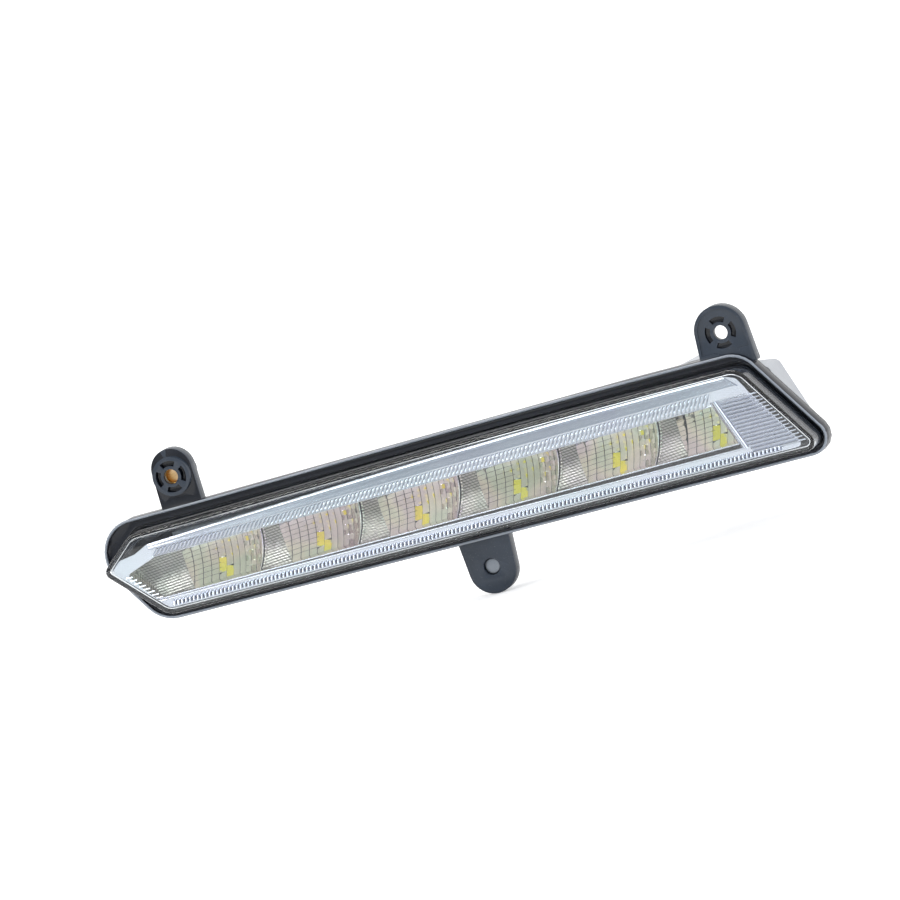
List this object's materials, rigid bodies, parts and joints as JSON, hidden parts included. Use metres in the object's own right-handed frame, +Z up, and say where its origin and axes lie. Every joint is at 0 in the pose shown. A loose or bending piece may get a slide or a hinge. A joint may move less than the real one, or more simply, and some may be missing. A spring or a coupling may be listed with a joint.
{
  "type": "daytime running light",
  "caption": "Slim daytime running light: black housing with three fixing ears, clear lens, fluted reflector bowls and a grey driver cover at one end.",
  "frame": {"origin": "axis of the right upper ear's bore, at the ear's front face", "axes": "+X along the lamp towards its right end as seen from the front, +Y to the rear, +Z up"},
  "size_m": [0.3484, 0.0693, 0.1014],
  "materials": {
    "housing_black": "black moulded plastic with a fine spark-eroded grain",
    "lens_clear": "clear polycarbonate with a hard coat",
    "sealant": "cured black glue bead",
    "metallised": "plastic moulding with a vacuum-coated aluminium mirror layer",
    "board_white": "metal-core circuit board with a white solder mask",
    "led_phosphor": "yellow phosphor under clear silicone",
    "thermal_pad": "soft grey-blue heat pad",
    "aluminium": "mill-finish extruded aluminium",
    "screw_steel": "bright zinc-plated steel",
    "pin_steel": "ground steel dowel",
    "terminal_white": "ivory nylon terminal housing",
    "cover_grey": "light grey moulded plastic with a fine satin grain",
    "gasket": "dark soft rubber",
    "board_green": "green solder mask on glass-epoxy board",
    "ferrite": "dark sintered ferrite",
    "capacitor": "blue sleeve over an aluminium can",
    "chip_black": "black epoxy chip package",
    "lead_red": "red wire insulation",
    "lead_black": "black wire insulation",
    "connector_black": "black glass-filled nylon",
    "contact_brass": "drawn brass",
    "seal_orange": "orange silicone seal",
    "membrane": "white breather membrane"
  },
  "bodies": {
    "root": {"housing": "housing_black", "lens": "lens_clear", "sealant_bead": "sealant", "bezel": "metallised", "reflector": "metallised", "led_board": "board_white", "led_1": "led_phosphor", "led_2": "led_phosphor", "led_3": "led_phosphor", "led_4": "led_phosphor", "led_5": "led_phosphor", "led_6": "led_phosphor", "thermal_pad": "thermal_pad", "heat_spreader": "aluminium", "board_screws": "screw_steel", "reflector_screws": "screw_steel", "board_terminal": "terminal_white", "driver_cover": "cover_grey", "cover_gasket": "gasket", "cover_screws": "screw_steel", "driver_board": "board_green", "driver_screws": "screw_steel", "driver_inductor": "ferrite", "driver_capacitor_1": "capacitor", "driver_capacitor_2": "capacitor", "driver_regulator": "chip_black", "driver_diode": "chip_black", "driver_terminal": "terminal_white", "lead_positive": "lead_red", "lead_negative": "lead_black", "lead_grommet": "gasket", "connector_socket": "connector_black", "connector_contacts": "contact_brass", "connector_seal": "seal_orange", "vent_cap": "connector_black", "vent_membrane": "membrane", "ear_sleeve": "contact_brass", "locating_pin": "pin_steel"}
  },
  "joints": []
}
